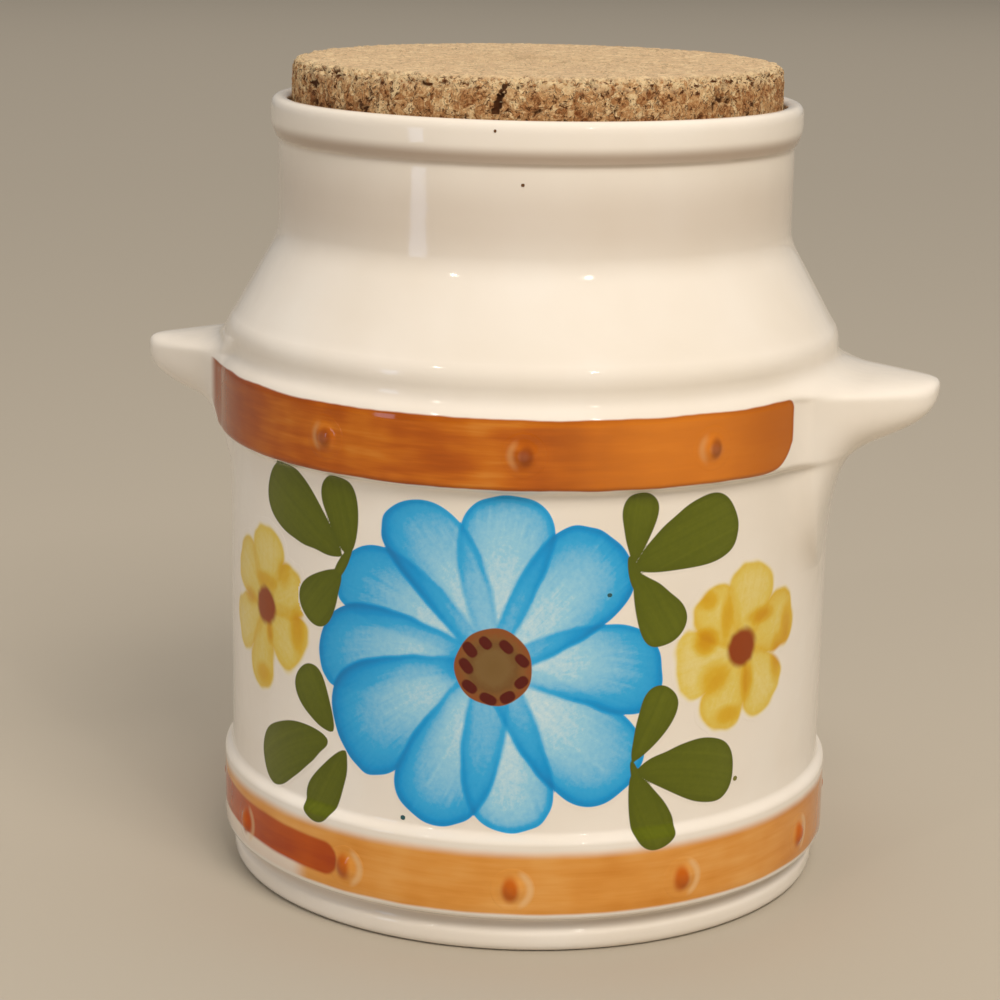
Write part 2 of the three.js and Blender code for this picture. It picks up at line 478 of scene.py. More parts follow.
def along_stroke(a, z, root, turn, bend, reach):
    """Places of wall points across and along a brushstroke, which bows to its right by bend."""
    heading = np.radians(turn)
    da, dz = a - root[0], z - root[1]
    along = da * np.sin(heading) + dz * np.cos(heading)
    across = da * np.cos(heading) - dz * np.sin(heading)
    t = np.clip(along / reach, 0, 1)
    return across - 4 * bend * t * (1 - t), along


def drop_edge(across, along, reach, half, taper, fullness):
    """Distance inside the edge of a drop laid by a round brush, narrow at its root and full at its tip."""
    t = np.clip(along / reach, 1e-6, None)
    peak = (2 * taper / (2 * taper + fullness)) ** (1 / fullness)
    scale = half * half / (peak ** (2 * taper) * (1 - peak ** fullness))
    room = scale * t ** (2 * taper) * (1 - t ** fullness)
    steep = 2 * taper * t ** (2 * taper - 1) - (2 * taper + fullness) * t ** (2 * taper + fullness - 1)
    inside = room - across ** 2
    slope = np.hypot(scale / reach * steep, 2 * across) / 2
    edge = inside / (slope + np.sqrt(np.clip(slope * slope + inside, 0, None)) + 1e-9)
    return np.where(along < 0, -np.hypot(across, along), edge)


# Places on the wall: millimetres round it from the front towards +X, then height
BLUE_CENTRE = (-6.6, 62.1)
DISC_R = 8.0

# The blue petals in the order they were laid: turn from upright in degrees, reach, half width, taper,
# fullness, bow, paint on the left rim, on the right rim and at the tip, and how far those below show through
PETALS = [
    (296.6, 38.8, 8.4, 0.7, 7, 3.0, 0.2, 0.5, 0.8, 0.0),
    (266.6, 40.4, 9.0, 0.7, 7, 3.8, 0.3, 0.95, 0.7, 0.15),
    (239.0, 39.8, 11.7, 0.7, 6, 2.2, 0.65, 1.0, 0.75, 0.1),
    (204.6, 37.4, 9.9, 0.42, 6, -1.0, 0.7, 0.85, 0.5, 0.0),
    (171.2, 35.9, 9.3, 0.42, 6, 0.6, 0.45, 0.4, 0.15, 0.6),
    (131.6, 38.6, 10.6, 0.45, 7, 0.6, 0.4, 0.75, 0.5, 0.6),
    (95.6, 35.8, 9.4, 0.6, 6, -2.6, 0.4, 0.7, 0.7, 0.1),
    (43.0, 36.2, 10.7, 0.52, 7, 0.0, 0.65, 0.85, 0.5, 0.55),
    (6.0, 36.3, 9.7, 0.75, 5, -1.0, 0.45, 0.35, 0.3, 0.6),
    (327.0, 38.8, 8.6, 0.58, 6, 2.3, 0.95, 0.15, 0.55, 0.4),
]

# How far a petal's outline trembles, how far its wash and its dark line reach in from its rim, and how far
# the shade to the left of the eye reaches out
PETAL_TREMBLE = 0.13
RIM_WASH = 3.2
RIM_LINE = 1.0
EYE_SHADE = 2.6


def blue_paint(a, z):
    """Distance inside the flower's edge and thickness of its paint, from thin and pale to thick and deep."""
    rng = np.random.default_rng(7)
    edge = np.full(a.shape, FAR_OUT)
    paint = np.zeros(a.shape)
    cover = np.zeros(a.shape)
    for turn, reach, half, taper, fullness, bow, left, right, tip, through in PETALS:
        across, along = along_stroke(a, z, BLUE_CENTRE, turn, bow, reach)
        petal = drop_edge(across, along, reach, half, taper, fullness)
        petal += PETAL_TREMBLE * wander(across + 0.7 * along, rng, 6, 24, 5)
        t = along / reach
        inside = smooth(petal, -0.6, 0.6)
        depth = np.clip(petal, 0, None)
        place = across / (half * np.clip(t, 0.05, 1) ** taper)
        side = np.clip(0.5 + 0.5 * place, 0, 1)
        rim = left * (1 - side) + right * side
        outer = smooth(t, 0.1, 0.7)
        broad = 0.95 * rim * np.exp(-depth / RIM_WASH) * (0.3 + 0.7 * outer)
        line = (0.3 + 0.4 * rim) * np.exp(-(depth / RIM_LINE) ** 2) * (0.3 + 0.7 * outer)
        wash = tip * smooth(t, 0.36, 1.0)
        hairs = np.clip(wander(place * half, rng, 0.9, 5, 7), -2, 2)
        fade = 0.5 + 0.5 * np.clip(wander(along + 3 * place, rng, 7, 25, 4), -1, 1)
        hairs = 0.036 * hairs * fade * (0.5 + 1.4 * wash + 0.5 * rim * outer)
        laid = np.clip(0.09 + 1.08 * broad + line + 0.68 * wash + hairs, 0.02, None)
        crossing = through * (0.3 - 0.2 * smooth(t, 0.3, 0.8))
        paint = paint * (1 - inside * (1 - through)) + inside * (laid + crossing * cover)
        cover = np.maximum(cover, inside)
        edge = np.maximum(edge, petal)
    da, dz = a - BLUE_CENTRE[0], z - BLUE_CENTRE[1]
    outside_disc = np.clip(np.hypot(da, dz) - DISC_R, 0, None)
    west = np.clip(-da / (np.hypot(da, dz) + 1e-6), 0, 1) ** 8
    paint += 0.75 * west * np.exp(-outside_disc / EYE_SHADE)
    return {"blue_edge": edge, "blue_depth": paint}


# Dots of the flower's eye: bearing from upright in degrees, how far out each lies, and its lean from level
DOTS = [
    (-18, 5.4, 42), (30, 5.2, 45), (74, 6.1, 40), (117, 6.5, -42), (154, 6.9, -35),
    (188, 6.8, 22), (228, 6.5, 45), (270, 5.6, 55), (306, 6.0, 50),
]
DOT_HALF_WIDTH = 1.1
DOT_HALF_LENGTH = 1.65


def eye_paint(a, z):
    """Distances inside the eye and inside its dots, and how near its rim a point is."""
    rng = np.random.default_rng(3)
    da, dz = a - BLUE_CENTRE[0], z - BLUE_CENTRE[1]
    bearing = np.arctan2(da, dz)
    out = np.hypot(da, dz * 0.97)
    eye = DISC_R - out + 0.12 * np.sin(3 * bearing + 1) + 0.08 * np.sin(7 * bearing)
    dots = np.full(a.shape, FAR_OUT)
    for turn, radius, slant in DOTS:
        length = DOT_HALF_LENGTH * rng.uniform(0.9, 1.15)
        width = DOT_HALF_WIDTH * rng.uniform(0.95, 1.15)
        lean = np.radians(slant + rng.uniform(-8, 8))
        x = da - radius * np.sin(np.radians(turn))
        y = dz - radius * np.cos(np.radians(turn))
        radial = x * np.sin(lean) + y * np.cos(lean)
        sideways = x * np.cos(lean) - y * np.sin(lean)
        size = (np.abs(sideways / length) ** 2.6 + np.abs(radial / width) ** 2.6) ** (1 / 2.6)
        dots = np.maximum(dots, (1 - size) * width)
    return {"eye_edge": eye, "dot_edge": dots, "eye_depth": out / DISC_R}


# Leaves: root, tip, half width, taper and bow of each drop, four fans of three and the joints of three stalks
LEAVES = [
    ((-40.8, 81.8), (-63.6, 95.4), 7.3, 0.7, 0.0),
    ((-39.0, 82.6), (-43.2, 98.6), 4.6, 0.5, 0.3),
    ((-41.2, 78.6), (-51.2, 67.2), 5.2, 0.65, 0.0),
    ((-43.2, 43.2), (-52.2, 55.8), 4.9, 0.6, -0.6),
    ((-44.7, 41.2), (-66.4, 29.4), 6.5, 0.55, 1.6),
    ((-39.6, 39.8), (-48.6, 23.4), 4.5, 0.6, 0.0),
    ((21.8, 83.6), (23.6, 98.5), 3.9, 0.75, 0.0),
    ((22.0, 82.8), (46.6, 91.6), 7.4, 0.65, -0.6),
    ((22.2, 82.0), (31.4, 66.6), 5.5, 0.75, 0.0),
    ((22.8, 41.2), (30.4, 56.8), 4.3, 0.7, 0.4),
    ((23.8, 39.3), (48.2, 34.6), 7.1, 0.65, -1.2),
    ((23.0, 38.8), (29.7, 22.4), 4.7, 0.65, 0.0),
    ((20.8, 85.4), (24.6, 76.4), 1.5, 0.5, 0.3),
    ((22.6, 41.6), (25.4, 34.4), 1.2, 0.5, 0.2),
    ((-38.0, 84.6), (-42.4, 77.0), 1.2, 0.5, 0.0),
]
LEAF_FULLNESS = 4.6
LEAF_RIM = 0.8


def leaf_paint(a, z):
    """Distance inside the leaves' edge, and thickness of their paint."""
    rng = np.random.default_rng(11)
    edge = np.full(a.shape, FAR_OUT)
    paint = np.zeros(a.shape)
    for root, tip, half, taper, bow in LEAVES:
        reach = math.dist(root, tip)
        turn = math.degrees(math.atan2(tip[0] - root[0], tip[1] - root[1]))
        across, along = along_stroke(a, z, root, turn, bow, reach)
        leaf = drop_edge(across, along, reach, half, taper, LEAF_FULLNESS)
        leaf += 0.1 * wander(across - 0.8 * along, rng, 7, 19, 4)
        depth = np.clip(leaf, 0, None)
        hairs = np.clip(wander(across, rng, 0.8, 4, 6), -2, 2)
        laid = 0.42 + 0.05 * hairs + 0.35 * np.exp(-depth / LEAF_RIM) - 0.12 * smooth(along / reach, 0.3, 1.1)
        paint = np.where(leaf > edge, laid, paint)
        edge = np.maximum(edge, leaf)
    return {"leaf_edge": edge, "leaf_depth": paint}


# Where the blue flower and its leaves lie on the wall: from and to round it, then from and to in height
BOUQUET_BOX = (-69, 50, 21, 101)


def bouquet_paint(a, z):
    """Blue flower with its eye and leaves."""
    return {**blue_paint(a, z), **leaf_paint(a, z), **eye_paint(a, z)}


# Yellow flowers: the middle of each, its box on the wall, then its petals' turn, reach, half width and gold
RIGHT_YELLOW = (49.6, 62.4)
RIGHT_YELLOW_BOX = (28, 71.5, 42, 83)
RIGHT_PETALS = [
    (73, 18.9, 6.9, 0.75), (143.5, 17.6, 7.2, 0.5), (203, 18.2, 6.4, 0.6),
    (262, 17.8, 7.8, 0.35), (319, 17.2, 6.2, 0.65), (12, 18.4, 7.3, 0.5),
]
LEFT_YELLOW = (-66.0, 65.8)
LEFT_YELLOW_BOX = (-86, -48, 44, 86)
LEFT_PETALS = [
    (240.6, 18.4, 6.4, 0.5), (305.5, 17.2, 6.6, 0.6), (189, 19.2, 5.6, 0.6),
    (120.6, 16.2, 7.4, 0.55), (61, 15.6, 6.2, 0.6), (3, 17.7, 6.9, 0.45),
]
# Richer dabs over the petals: place, half width, half height and strength
RIGHT_DABS = [
    ((39.4, 65.2), 3.3, 3.1, 1.0), ((42.0, 57.0), 4.4, 3.8, 0.55), ((46.0, 48.4), 3.8, 2.2, 0.6),
    ((64.8, 64.0), 2.4, 5.2, 0.7), ((61.6, 58.0), 2.4, 5.6, 0.75), ((51.6, 55.0), 2.0, 4.6, 0.75),
    ((55.4, 68.4), 4.8, 2.0, 0.7), ((44.8, 69.6), 1.8, 4.6, 0.6), ((40.0, 73.8), 2.6, 2.2, 0.55),
]
LEFT_DABS = [
    ((-66.0, 71.4), 4.6, 2.0, 0.6), ((-54.0, 63.0), 2.6, 5.2, 0.75), ((-64.4, 60.2), 1.5, 2.6, 0.7),
    ((-67.4, 50.4), 3.6, 2.6, 0.6), ((-58.6, 74.4), 2.6, 3.4, 0.4), ((-74.0, 66.0), 3.4, 2.2, 0.5),
]
BROWN_EYE_R = 4.1
YELLOW_TAPER = 0.6
YELLOW_FULLNESS = 5
YELLOW_RIM = 2.0


def yellow_paint(a, z, middle, petals, dabs):
    """Distances inside a yellow flower's soft edge and its brown eye, and thickness of its paint."""
    rng = np.random.default_rng(19)
    edge = np.full(a.shape, FAR_OUT)
    paint = np.zeros(a.shape)
    for turn, reach, half, gold in petals:
        across, along = along_stroke(a, z, middle, turn, 0, reach)
        petal = drop_edge(across, along, reach, half, YELLOW_TAPER, YELLOW_FULLNESS)
        petal += 0.2 * wander(across + along, rng, 5, 15, 4)
        inside = smooth(petal, -0.5, 0.7)
        depth = np.clip(petal, 0, None)
        hairs = np.clip(wander(across, rng, 0.9, 4, 6), -2, 2)
        laid = 0.08 + gold * (0.22 + 0.7 * np.exp(-depth / YELLOW_RIM)) + 0.02 * hairs
        paint = paint * (1 - 0.75 * inside) + inside * laid
        edge = np.maximum(edge, petal)
    for place, half_width, half_height, strength in dabs:
        size = np.hypot((a - place[0]) / half_width, (z - place[1]) / half_height)
        paint += strength * (1 - smooth(size, 0.25, 1.3))
    eye = BROWN_EYE_R - np.hypot(a - middle[0], z - middle[1]) + 0.15 * wander(a + z, rng, 3, 9, 3)
    return {"petal_edge": edge, "dot_edge": eye, "petal_depth": paint}


# Specks of iron in the clay and stray drops of paint: place, half width, half height, and 1 for the green
# ones
SPECKS = [
    ((-3.0, 159.0), 0.5, 0.45, 0), ((-9.5, 169.7), 0.45, 0.4, 0), ((16.9, 77.4), 0.6, 0.55, 0.5),
    ((-25.5, 27.7), 0.65, 0.6, 0.5), ((49.1, 33.5), 0.7, 0.6, 1),
]


def speck_paint(a, z):
    """Distance inside the specks' edge, and how green each is."""
    edge = np.full(a.shape, FAR_OUT)
    green = np.zeros(a.shape)
    for (middle_a, middle_z), wide, tall, tone in SPECKS:
        speck = (1 - np.hypot((a - middle_a) / wide, (z - middle_z) / tall)) * min(wide, tall)
        green = np.where(speck > edge, tone, green)
        edge = np.maximum(edge, speck)
    return {"speck_edge": edge, "speck_depth": green}


def painted_sheet(name, boxes, step, painter, material, margin, lift=PAINT_LIFT):
    """A thin closed sheet bent round the wall where the painter lays paint, and a margin past it, with the
    paint's measures on its points."""
    tops, measures, faces = [], [], []
    count = 0
    for low_a, high_a, low_z, high_z in boxes:
        a, z = np.meshgrid(np.arange(low_a, high_a, step), np.arange(low_z, high_z, step))
        found = painter(a, z)
        laid = np.max([value for key, value in found.items() if key.endswith("_edge")], axis=0) > -margin
        cells = laid[:-1, :-1] | laid[1:, :-1] | laid[:-1, 1:] | laid[1:, 1:]
        rows, columns = a.shape
        number = np.full(a.shape, -1)
        used = np.zeros(a.shape, bool)
        for di in (0, 1):
            for dj in (0, 1):
                used[di:rows - 1 + di, dj:columns - 1 + dj] |= cells
        number[used] = count + np.arange(used.sum())
        i, j = np.nonzero(cells)
        faces.append(np.stack([number[i, j], number[i, j + 1], number[i + 1, j + 1], number[i + 1, j]], 1))
        tops.append(np.stack([a[used], z[used]], 1))
        measures.append({key: value[used] for key, value in found.items()})
        count += used.sum()
    place, faces = np.concatenate(tops), np.concatenate(faces)
    angle, radius = place[:, 0] / WALL_R, wall_radius(place[:, 1])

    sides = np.concatenate([faces[:, [k, (k + 1) % 4]] for k in range(4)])
    forward = {(int(p), int(q)) for p, q in sides}
    rim = [(p, q) for p, q in forward if (q, p) not in forward]
    layers = [round_axis(radius + offset, angle, place[:, 1]) for offset in (lift, -PAINT_ROOT)]
    points = np.concatenate(layers)
    walls = [[q, p, p + count, q + count] for p, q in sorted(rim)]
    under = faces[:, ::-1] + count
    mesh = bpy.data.meshes.new(name)
    mesh.from_pydata((points * MM).tolist(), [], faces.tolist() + under.tolist() + walls)
    for key in measures[0]:
        values = np.concatenate([m[key] for m in measures])
        attribute = mesh.attributes.new(key, "FLOAT", "POINT")
        attribute.data.foreach_set("value", np.tile(values, 2).astype(np.float32))
    mesh.update()
    mesh.shade_smooth()
    mesh.set_sharp_from_angle(angle=math.radians(40))
    return new_piece(name, mesh, material)


def new_tree(name, start, sizes, finish):
    """A node tree that takes a starting shape, named sizes and a material, with its input node's sockets."""
    tree = bpy.data.node_groups.new(name, "GeometryNodeTree")
    kinds = {start: "Geometry", **dict.fromkeys(sizes, "Float"), finish: "Material"}
    for socket, kind in kinds.items():
        tree.interface.new_socket(socket, in_out="INPUT", socket_type="NodeSocket" + kind)
    tree.interface.new_socket("Finished", in_out="OUTPUT", socket_type="NodeSocketGeometry")
    return tree, tree.nodes.new("NodeGroupInput").outputs


def close_tree(tree, shape, material):
    """Ends a node tree: smooth shading, real geometry and its material."""
    soft = add(tree, "GeometryNodeSetShadeSmooth", {"Geometry": shape})
    real = add(tree, "GeometryNodeRealizeInstances", (soft,))
    done = add(tree, "GeometryNodeSetMaterial", {"Geometry": real, "Material": material})
    tree.links.new(done, tree.nodes.new("NodeGroupOutput").inputs[0])
    return tree


def grown(name, source, tree, values):
    """The mesh that a node tree makes from a source mesh, as a plain new object."""
    host = bpy.data.objects.new(name + "_host", source)
    bpy.context.scene.collection.objects.link(host)
    modifier = host.modifiers.new("nodes", "NODES")
    modifier.node_group = tree
    sockets = {item.name: item.identifier for item in tree.interface.items_tree if item.in_out == "INPUT"}
    for key, value in values.items():
        modifier[sockets[key]] = value
    graph = bpy.context.evaluated_depsgraph_get()
    mesh = bpy.data.meshes.new_from_object(host.evaluated_get(graph), depsgraph=graph)
    bpy.data.objects.remove(host)
    bpy.data.meshes.remove(source)
    mesh.name = name
    piece = bpy.data.objects.new(name, mesh)
    bpy.context.scene.collection.objects.link(piece)
    return piece


def rivet_tree():
    """Node tree that turns points with an angle into soft rivets, each bent round its band. A ball's upper
    half becomes the dome with its skirt, and its lower half the root inside the wall."""
    sizes = ("Band radius", "Height", "Rise", "Reach", "Skirt", "Lift", "Root")
    tree, size = new_tree("rivet_row", "Places", sizes, "Glaze")
    ball = add(tree, "GeometryNodeMeshUVSphere", {"Segments": 36, "Rings": 26, "Radius": 1.0})
    x, y, z = add(tree, SPLIT, (add(tree, "GeometryNodeInputPosition"),)).node.outputs
    polar = add(tree, MATH, (z,), operation="ARCCOSINE")
    quarters = add(tree, MATH, (polar, math.pi / 2), operation="DIVIDE")
    share = add(tree, MATH, (quarters, 1.0), operation="PINGPONG")
    out = add(tree, MATH, (share, size["Skirt"]), operation="MULTIPLY")
    spoke = add(tree, MATH, (x, y), operation="ARCTAN2")
    across, up = [add(tree, MATH, (out, add(tree, MATH, (spoke,), operation=wave)), operation="MULTIPLY")
                  for wave in ("SINE", "COSINE")]

    dome = add(tree, RANGE, (out, 0.0, size["Reach"], size["Rise"], 0.0), interpolation_type="SMOOTHERSTEP")
    hem = add(tree, RANGE, (share, 0.9, 1.0, size["Lift"], -RIVET_TUCK), **EASED)
    above = add(tree, MATH, (dome, hem), operation="ADD")
    root = add(tree, MATH, (size["Root"], -1.0), operation="MULTIPLY")
    under = add(tree, MATH, (z, -1e-4), operation="LESS_THAN")
    offset = add(tree, MIX, {0: under, 2: above, 3: root})
    radius = add(tree, MATH, (size["Band radius"], offset), operation="ADD")
    turn = add(tree, MATH, (across, size["Band radius"]), operation="DIVIDE")
    aside, ahead = [add(tree, MATH, (radius, add(tree, MATH, (turn,), operation=wave)), operation="MULTIPLY")
                    for wave in ("SINE", "COSINE")]
    front = add(tree, MATH, (ahead, -1.0), operation="MULTIPLY")
    height = add(tree, MATH, (up, size["Height"]), operation="ADD")
    place = add(tree, JOIN, (aside, front, height))
    metres = add(tree, VECTOR, {0: place, "Scale": MM}, operation="SCALE")

    mark = add(tree, JOIN, (across, up))
    marked = add(tree, KEEP, {"Geometry": ball, "Name": "rivet_place", "Value": mark},
                 data_type="FLOAT_VECTOR", domain="POINT")
    shaped = add(tree, "GeometryNodeSetPosition", {"Geometry": marked, "Position": metres})
    angle = add(tree, "GeometryNodeInputNamedAttribute", {"Name": "turn"}, data_type="FLOAT")
    spin = add(tree, JOIN, {2: angle})
    copies = add(tree, "GeometryNodeInstanceOnPoints",
                 {"Points": size["Places"], "Instance": shaped, "Rotation": spin})
    return close_tree(tree, copies, size["Glaze"])


def low_rivet_angles():
    """Angles of the lower band's rivets: those of the front, then even steps round the back."""
    first, last = LOW_RIVETS[0], LOW_RIVETS[-1]
    rest = LOW_RIVET_COUNT - len(LOW_RIVETS)
    step = (360 - last + first) / (rest + 1)
    return LOW_RIVETS + [last + step * i for i in range(1, rest + 1)]


def rivets(name, angles, radius, height, tree, material):
    """One row of rivets, grown from a point for each that holds its angle."""
    places = bpy.data.meshes.new(name + "_places")
    places.from_pydata([(0, 0, 0)] * len(angles), [], [])
    turns = places.attributes.new("turn", "FLOAT", "POINT")
    turns.data.foreach_set("value", np.array([math.radians(a) for a in angles], np.float32))
    return grown(name, places, tree, {
        "Band radius": float(radius), "Height": float(height), "Rise": RIVET_RISE, "Reach": RIVET_REACH,
        "Skirt": RIVET_SKIRT, "Lift": RIVET_LIFT, "Root": RIVET_ROOT, "Glaze": material})


def cork_mesh():
    """Closed plain body of the stopper, evenly meshed for its relief."""
    outline = Outline(POLE_R, CORK_LOW_Z)
    outline.line(CORK_ROOT_R - CORK_CHAMFER, CORK_LOW_Z, 16)
    outline.line(CORK_ROOT_R, CORK_LOW_Z + CORK_CHAMFER, 2)
    outline.line(CORK_R, RIM_Z, 8)
    outline.line(CORK_R, CORK_TOP_Z - CORK_EDGE, 15)
    outline.round(CORK_R, CORK_TOP_Z, CORK_R - CORK_EDGE, CORK_TOP_Z, 7)
    outline.line(POLE_R, CORK_TOP_Z, 60)
    turns = np.linspace(0, 2 * np.pi, 680, endpoint=False)
    return grid_mesh("cork_body", [round_axis(r, turns, z) for r, z in outline.points])


def cork_tree():
    """Node tree that wears a plain cork body: seams between its granules, lost granules, a crumbling top edge
    and one ragged crack."""
    sizes = ("Granule", "Seam depth", "Pit depth", "Crumb depth", "Crack depth", "Top height", "Radius",
             "Seed")
    tree, size = new_tree("cork_relief", "Body", sizes, "Cork")
    here = add(tree, "GeometryNodeInputPosition")
    mm = add(tree, VECTOR, {0: here, "Scale": 1 / MM}, operation="SCALE")
    x, y, z = add(tree, SPLIT, (mm,)).node.outputs

    # Granules are cells bent out of shape, with some seams open and some granules lost
    lumpy = {"Scale": 1 / CORK_LUMP, "Detail": 6.0, "Roughness": 0.7}
    wavy = add(tree, NOISE, {"Vector": mm, **lumpy}, out=1)
    shift = add(tree, VECTOR, {0: wavy, "Scale": CORK_BEND}, operation="SCALE")
    bent = add(tree, VECTOR, (mm, shift), operation="ADD")
    seeded = add(tree, VECTOR, (bent, size["Seed"]), operation="ADD")
    scale = add(tree, MATH, (1.0, size["Granule"]), operation="DIVIDE")
    seam = add(tree, CELLS, {"Vector": seeded, "Scale": scale}, feature="DISTANCE_TO_EDGE")
    cell = add(tree, CELLS, {"Vector": seeded, "Scale": scale}, out=1)
    chance = add(tree, SPLIT, (cell,))
    stretch = add(tree, NOISE, {"Vector": seeded, "Scale": 1 / CORK_STRETCH, "Detail": 2.0})
    narrow = add(tree, RANGE, (seam, 0.0, 0.1, 1.0, 0.0), **EASED)
    parted = add(tree, MATH, (narrow, add(tree, RANGE, (stretch, 0.42, 0.6), **EASED)), operation="MULTIPLY")
    groove = add(tree, MATH, (parted, size["Seam depth"]), operation="MULTIPLY")
    lost = add(tree, MATH, (chance, CORK_LOST), operation="LESS_THAN")
    hollow = add(tree, MATH, (lost, add(tree, RANGE, (seam, 0.02, 0.3), **EASED)), operation="MULTIPLY")
    pit = add(tree, MATH, (hollow, size["Pit depth"]), operation="MULTIPLY")

    # The top edge crumbles in chips
    out = add(tree, VECTOR, (add(tree, JOIN, (x, y)),), **LENGTH)
    to_side = add(tree, MATH, (size["Radius"], out), operation="SUBTRACT")
    to_top = add(tree, MATH, (size["Top height"], z), operation="SUBTRACT")
    from_edge = add(tree, MATH, (to_side, to_top), operation="ADD")
    at_edge = add(tree, RANGE, (from_edge, 0.5, 4.5, 1.0, 0.0), **EASED)
    chips = add(tree, NOISE, {"Vector": seeded, **lumpy})
    crumble = add(tree, MATH, (add(tree, RANGE, (chips, 0.42, 0.58), **EASED), at_edge), operation="MULTIPLY")
    crumbs = add(tree, MATH, (crumble, size["Crumb depth"]), operation="MULTIPLY")
    grain = add(tree, NOISE, {"Vector": seeded, "Scale": 1 / CORK_GRAIN, "Detail": 4.0, "Roughness": 0.7})
    fine = add(tree, MATH, (grain, 0.8), operation="MULTIPLY")

    # The crack runs down from the top edge, leans left and widens
    turn = add(tree, MATH, (x, add(tree, MATH, (y, -1.0), operation="MULTIPLY")), operation="ARCTAN2")
    fall = add(tree, RANGE, (to_top, 0.0, CRACK_LENGTH), **EASED)
    middle = add(tree, MATH, (fall, CRACK_LEAN, -CRACK_PLACE), operation="MULTIPLY_ADD")
    aside = add(tree, MATH, (turn, CORK_R, middle), operation="MULTIPLY_ADD")
    aside = add(tree, MATH, (aside,), operation="ABSOLUTE")
    widening = add(tree, MATH, (fall, 3.0), operation="POWER")
    half = add(tree, MATH, (widening, CRACK_FORK, CRACK_HALF), operation="MULTIPLY_ADD")
    beside = add(tree, MATH, (aside, half), operation="SUBTRACT")
    ragged = add(tree, MATH, (grain, CRACK_RAGGED, beside), operation="MULTIPLY_ADD")
    crack = size["Crack depth"]
    for measure, near, far, start, end in (
            (ragged, CRACK_RAGGED / 2 - 0.1, CRACK_RAGGED / 2 + 0.2, 1.0, 0.0),
            (to_side, 1.5, 2.5, 1.0, 0.0),
            (to_top, CRACK_START, CRACK_START + 0.5, 0.0, 1.0),
            (to_top, CRACK_LENGTH, CRACK_LENGTH + 0.6, 1.0, 0.0)):
        share = add(tree, RANGE, (measure, near, far, start, end), **EASED)
        crack = add(tree, MATH, (crack, share), operation="MULTIPLY")

    worn = add(tree, MATH, (groove, pit), operation="ADD")
    chipped = add(tree, MATH, (crumbs, fine), operation="ADD")
    depth = add(tree, MATH, (add(tree, MATH, (worn, chipped), operation="ADD"), crack), operation="MAXIMUM")
    inward = add(tree, MATH, (depth, -MM), operation="MULTIPLY")
    push = add(tree, VECTOR, {0: add(tree, "GeometryNodeInputNormal"), "Scale": inward}, operation="SCALE")
    # Depth of the seams, pits and crack, which the cork's material turns into painted shade, mostly in the
    # pits and crack
    dark = add(tree, MATH, (add(tree, MATH, (groove, pit), operation="MAXIMUM"), crack), operation="ADD")
    body = size["Body"]
    for name, value, kind in (("cork_depth", dark, "FLOAT"), ("cork_edge", at_edge, "FLOAT"),
                              ("granule_place", seeded, "FLOAT_VECTOR")):
        body = add(tree, KEEP, {"Geometry": body, "Name": name, "Value": value}, data_type=kind,
                   domain="POINT")
    worn_body = add(tree, "GeometryNodeSetPosition", {"Geometry": body, "Offset": push})
    return close_tree(tree, worn_body, size["Cork"])


def glaze_colour(tree, mm):
    """Warm white glaze, a little yellower where it lies thick, with painted shade that makes it browner in
    the groove, under the lip and across the neck.
    """
    cloud = add(tree, NOISE, {"Vector": mm, "Scale": 1 / GLAZE_CLOUD, "Detail": 3.0})
    glaze = add(tree, RAMP, (cloud,), stops=[(0.3, "#F0E7DA"), (0.55, "#F4ECE1"), (0.75, "#F7F1E8")])
    height = add(tree, SPLIT, (mm,), out=2)
    # Painted shade: each band of height is mixed towards brown, in the groove, under the lip and across the
    # neck
    for shade_height, reach, share in PAINTED_SHADE_BANDS:
        near = add(tree, MATH, (height, shade_height), operation="SUBTRACT")
        near = add(tree, MATH, (near,), operation="ABSOLUTE")
        near = add(tree, RANGE, (near, 0.1 * reach, reach, share, 0.0), **EASED)
        glaze = add(tree, MIX, {0: near, 6: glaze, 7: srgb("#A8917C")}, **COLOUR)
    return glaze


def glazed(tree, colour, mm):
    """Glossy clear glaze over a body colour, with the faint ripple of a dipped surface."""
    ripple = add(tree, NOISE, {"Vector": mm, "Scale": 1 / GLAZE_RIPPLE, "Detail": 2.0})
    bump = add(tree, "ShaderNodeBump", {"Strength": 0.12, "Distance": 0.9 * MM, "Height": ripple})
    uneven = add(tree, NOISE, {"Vector": mm, "Scale": 1 / GLAZE_UNEVEN, "Detail": 2.0})
    rough = add(tree, RANGE, (uneven, 0.0, 1.0, 0.05, 0.1))
    skin = add(tree, SKIN, {"Base Color": colour, "Roughness": rough, "IOR": 1.42, "Normal": bump})
    add(tree, "ShaderNodeOutputMaterial", {"Surface": skin})


def stroke_field(tree, end, rise, half, corner):
    """Distance inside the edge of a long stroke with round corners, from the distance inside its end, the
    height off its middle line, its half width and its corners' radius."""
    tall = add(tree, MATH, (rise,), operation="ABSOLUTE")
    inner = add(tree, MATH, (half, tall), operation="SUBTRACT")
    past = []
    for inside in (end, inner):
        lack = add(tree, MATH, (corner, inside), operation="SUBTRACT")
        past.append(add(tree, MATH, (lack, 0.0), operation="MAXIMUM"))
    lack = add(tree, VECTOR, (add(tree, JOIN, past),), **LENGTH)
    return add(tree, MATH, (corner, lack), operation="SUBTRACT")


def tinted(tree, colour, turn, tints):
    """A brushed colour that changes along the strap, by the angle from and to which each tint comes or
    goes."""
    for near, far, start, end, tint in tints:
        share = add(tree, RANGE, (turn, math.radians(near), math.radians(far), start, end), **EASED)
        colour = add(tree, MIX, {0: share, 6: colour, 7: srgb(tint)}, **COLOUR)
    return colour


